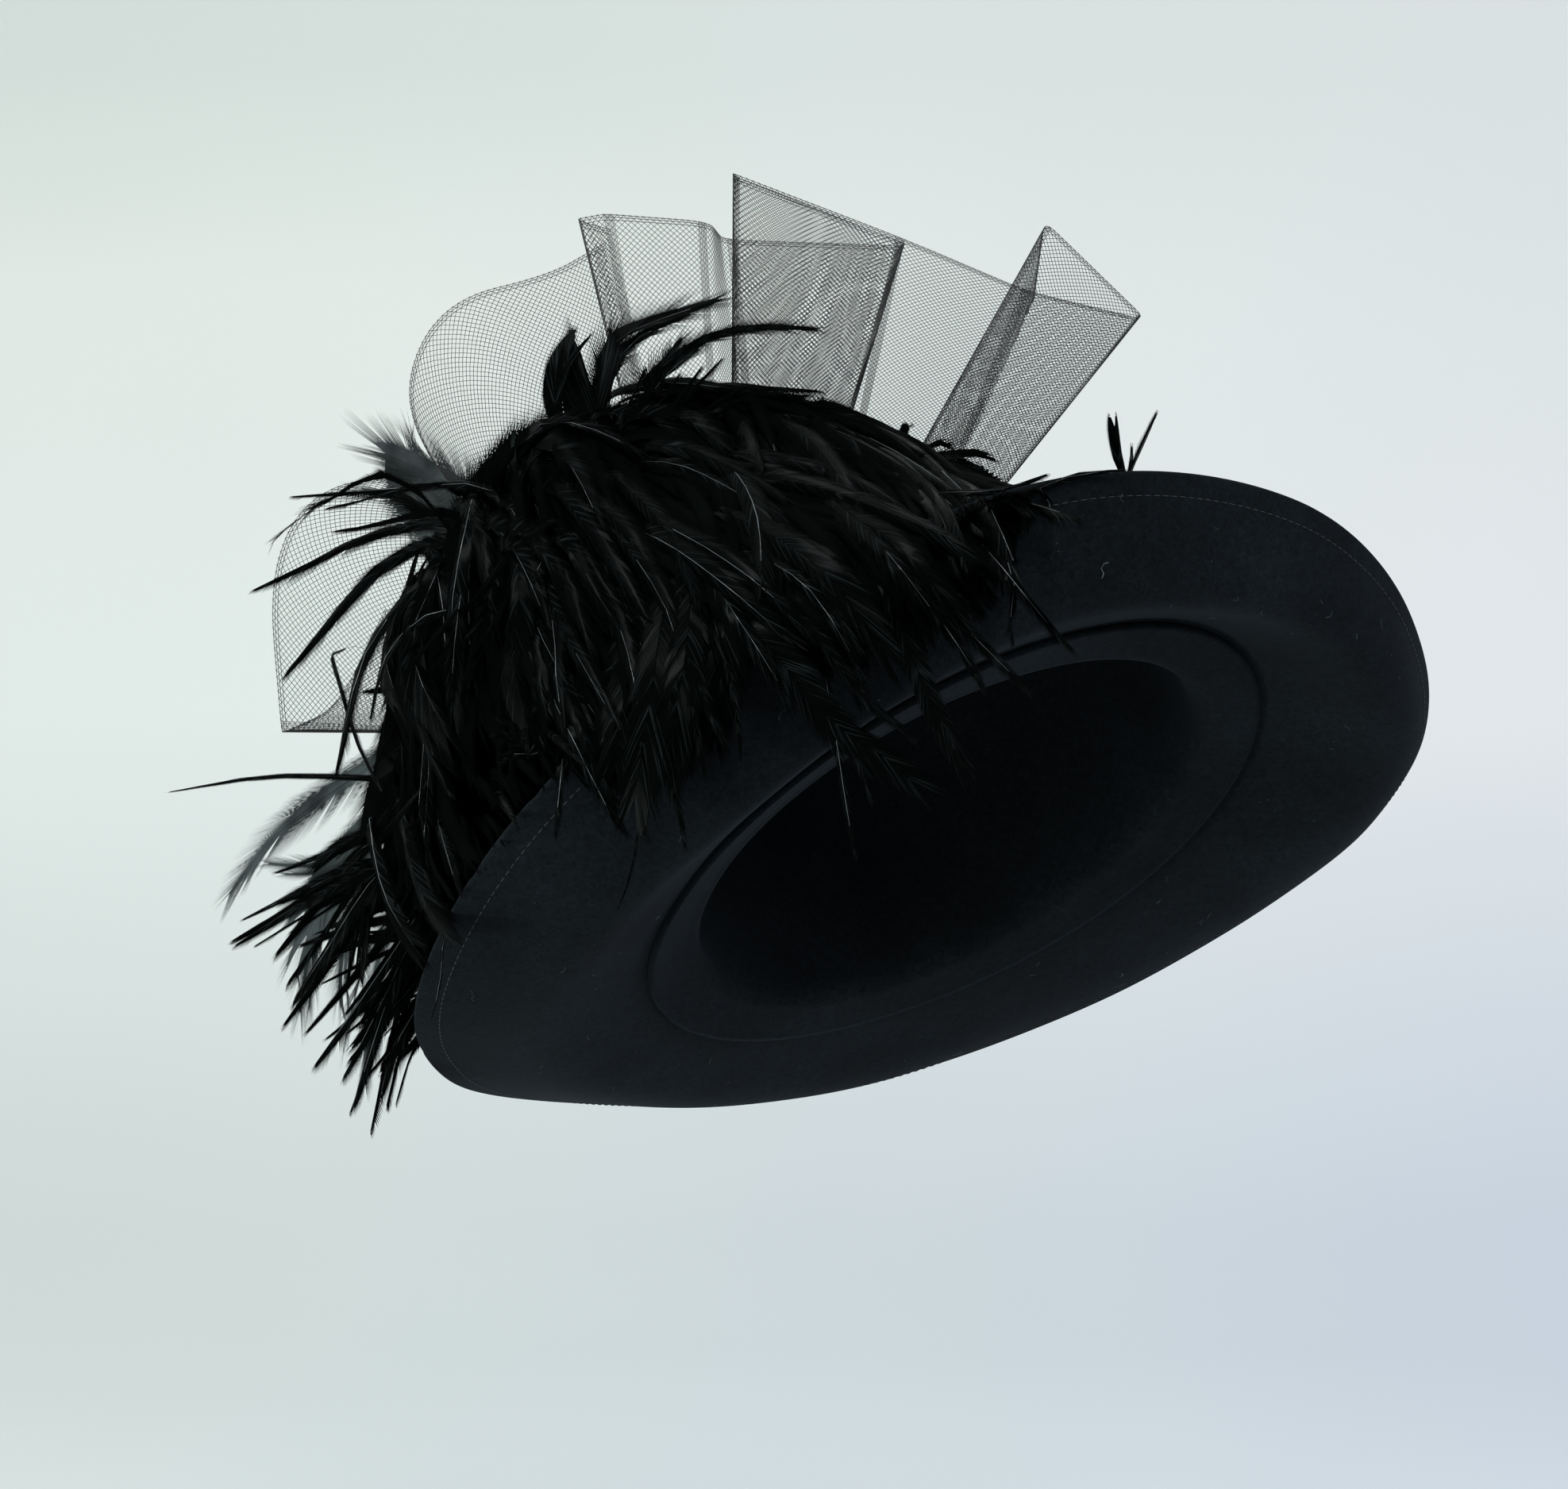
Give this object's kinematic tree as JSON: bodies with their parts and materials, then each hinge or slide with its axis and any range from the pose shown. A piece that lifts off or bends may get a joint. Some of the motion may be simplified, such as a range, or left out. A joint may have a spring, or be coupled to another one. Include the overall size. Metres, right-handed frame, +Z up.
{
  "type": "wide-brim hat",
  "caption": "Wide-brim felt hat at the steep tilt it is worn at, its brim turned up on one side, trimmed with cock feathers and a pleated net band.",
  "frame": {"origin": "centre of the head opening, where the head sits", "axes": "+X towards the hat's front, +Y towards its left, +Z up, with the hat at the tilt that it is worn at: front raised 29 degrees and right side raised 28.3 degrees"},
  "size_m": [0.4804, 0.3286, 0.3649],
  "materials": {
    "felt": "matt black wool felt with a navy cast",
    "net": "stiff black open horsehair net",
    "feather": "glossy black cock feathers with a faint green sheen"
  },
  "bodies": {
    "root": {"crown": "felt", "brim": "felt", "net_fan": "net", "net_loops": "net", "feather_side": "feather", "feather_back": "feather", "feather_sprig": "feather"}
  },
  "joints": []
}
